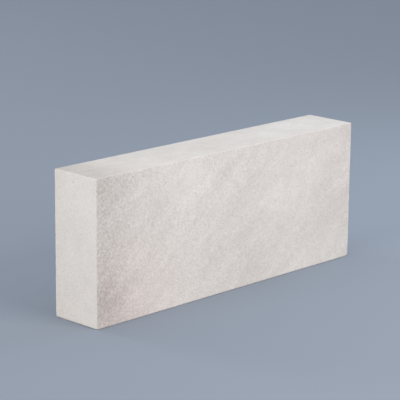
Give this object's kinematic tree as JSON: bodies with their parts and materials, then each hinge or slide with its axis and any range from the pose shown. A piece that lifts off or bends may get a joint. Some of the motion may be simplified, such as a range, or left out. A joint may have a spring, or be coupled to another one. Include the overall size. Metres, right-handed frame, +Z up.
{
  "type": "aerated concrete board",
  "caption": "Slim aerated concrete wall block, a plain long prism with sharp eased edges, standing on its long narrow bed.",
  "frame": {"origin": "middle of the bottom bed, the long narrow face that the block stands on", "axes": "+X along the block's length, +Y through its thickness, +Z up to the top bed"},
  "size_m": [0.625, 0.1, 0.25],
  "materials": {
    "aerated_concrete": "matte"
  },
  "bodies": {
    "root": {"aerated_concrete_board": "aerated_concrete"}
  },
  "joints": []
}
